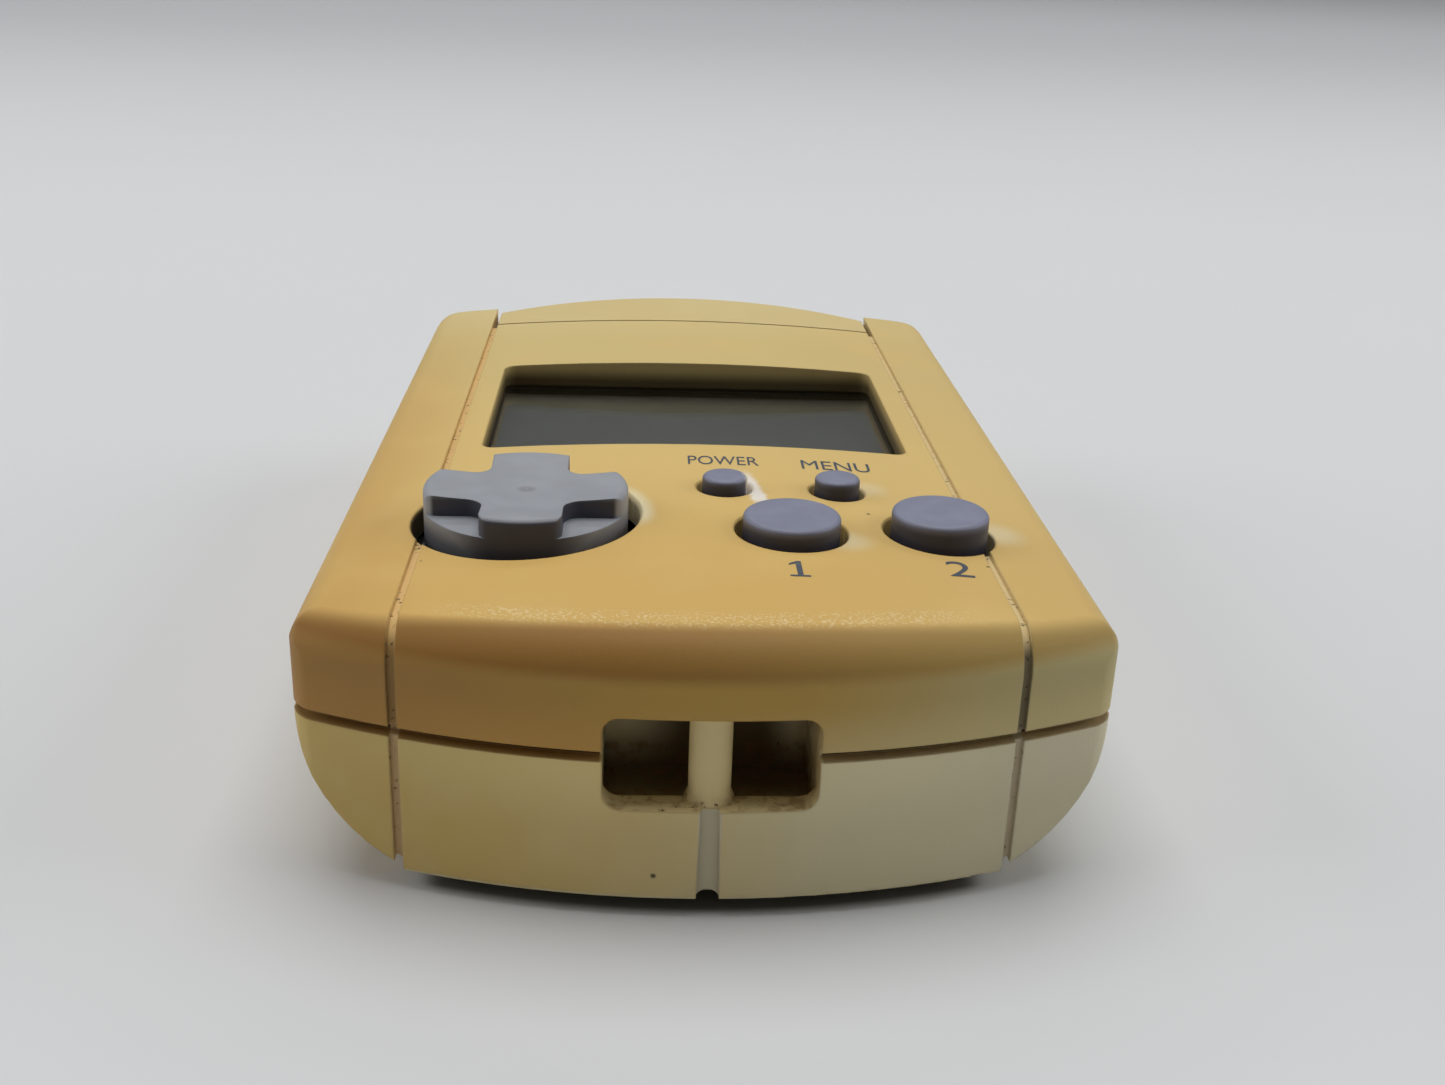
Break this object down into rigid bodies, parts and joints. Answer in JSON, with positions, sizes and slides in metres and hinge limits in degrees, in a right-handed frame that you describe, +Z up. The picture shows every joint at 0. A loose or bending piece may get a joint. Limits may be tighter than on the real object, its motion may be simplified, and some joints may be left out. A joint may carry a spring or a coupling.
{
  "type": "pocket electronic toy with a display",
  "caption": "Pocket electronic toy: rounded two-part case with a display, a direction pad, push buttons, a strap post in its near end and a pull-off connector cap.",
  "frame": {"origin": "middle of the case's box, on the surface that it lies on", "axes": "+Z up through the display, +Y along the length from the strap end to the connector cap, +X to the right as the display is read"},
  "size_m": [0.047, 0.08, 0.0178],
  "materials": {
    "rear_shell": "fine spark-textured moulding, cream, lightly yellowed",
    "front_shell": "fine spark-textured moulding, strongly yellowed to amber",
    "cap_shell": "fine spark-textured moulding, yellowed",
    "cover_shell": "fine spark-textured moulding, cream",
    "steel_screw": "zinc-plated",
    "clear_lens": "clear moulded window",
    "black_frame": "black moulding",
    "lcd_glass": "unlit reflective liquid crystal panel",
    "pink_rubber": "layered contact rubber",
    "green_board": "solder-masked glass-fibre board",
    "black_epoxy": "moulded epoxy",
    "bright_can": "drawn metal can",
    "dark_ceramic": "fired ceramic chips",
    "pad_grey": "satin grey moulding",
    "button_lavender": "satin lavender-grey moulding",
    "white_rubber": "moulded silicone",
    "carbon_rubber": "conductive carbon pill",
    "plug_plastic": "dark glass-filled moulding",
    "gold_contact": "gold-flashed spring strip",
    "cell_steel": "drawn steel can",
    "spring_metal": "plated phosphor bronze strip",
    "buzzer_brass": "brass plate with a ceramic disc",
    "black_foam": "self-adhesive foam ring"
  },
  "bodies": {
    "case": {"rear_case": "rear_shell", "front_case": "front_shell", "case_screws": "steel_screw", "board_screws": "steel_screw", "display_lens": "clear_lens", "lcd_frame": "black_frame", "lcd_panel": "lcd_glass", "lcd_contact_strips": "pink_rubber", "circuit_board": "green_board", "controller_chip": "black_epoxy", "crystal": "bright_can", "small_components": "dark_ceramic", "dpad_membrane": "white_rubber", "button_membrane": "white_rubber", "carbon_contacts": "carbon_rubber", "connector_housing": "plug_plastic", "connector_contacts": "gold_contact", "near_coin_cell": "cell_steel", "far_coin_cell": "cell_steel", "battery_plus_contacts": "spring_metal", "battery_minus_contacts": "spring_metal", "buzzer_disc": "buzzer_brass", "buzzer_pad": "black_foam"},
    "cap": {"connector_cap": "cap_shell"},
    "battery_door": {"battery_cover": "cover_shell", "battery_cover_screw": "steel_screw"},
    "pad_rocker": {"dpad_pivot": "pad_grey"},
    "pad": {"direction_pad": "pad_grey"},
    "left_action": {"left_action_button": "button_lavender"},
    "right_action": {"right_action_button": "button_lavender"},
    "left_small": {"left_small_button": "button_lavender"},
    "right_small": {"right_small_button": "button_lavender"}
  },
  "joints": [
    {"name": "cap_pull", "type": "slide", "parent": "case", "child": "cap", "axis": [0, 1, 0], "range_m": [0, 0.012]},
    {"name": "battery_door_lift", "type": "slide", "parent": "case", "child": "battery_door", "axis": [0, 0, -1], "range_m": [0, 0.008]},
    {"name": "pad_tilt_front_back", "type": "hinge", "parent": "case", "child": "pad_rocker", "pos_m": [-0.01115, -0.0206, 0.01045], "axis": [1, 0, 0], "range_deg": [-4, 4], "stiffness_Nm_per_rad": 0.02, "deforming": ["dpad_membrane"]},
    {"name": "pad_tilt_left_right", "type": "hinge", "parent": "pad_rocker", "child": "pad", "pos_m": [-0.01115, -0.0206, 0.01045], "axis": [0, 1, 0], "range_deg": [-4, 4], "stiffness_Nm_per_rad": 0.02, "deforming": ["dpad_membrane"]},
    {"name": "left_action_press", "type": "slide", "parent": "case", "child": "left_action", "axis": [0, 0, -1], "range_m": [0, 0.0007], "stiffness_N_per_m": 400, "deforming": ["button_membrane"]},
    {"name": "right_action_press", "type": "slide", "parent": "case", "child": "right_action", "axis": [0, 0, -1], "range_m": [0, 0.0007], "stiffness_N_per_m": 400, "deforming": ["button_membrane"]},
    {"name": "left_small_press", "type": "slide", "parent": "case", "child": "left_small", "axis": [0, 0, -1], "range_m": [0, 0.0007], "stiffness_N_per_m": 400, "deforming": ["button_membrane"]},
    {"name": "right_small_press", "type": "slide", "parent": "case", "child": "right_small", "axis": [0, 0, -1], "range_m": [0, 0.0007], "stiffness_N_per_m": 400, "deforming": ["button_membrane"]}
  ]
}
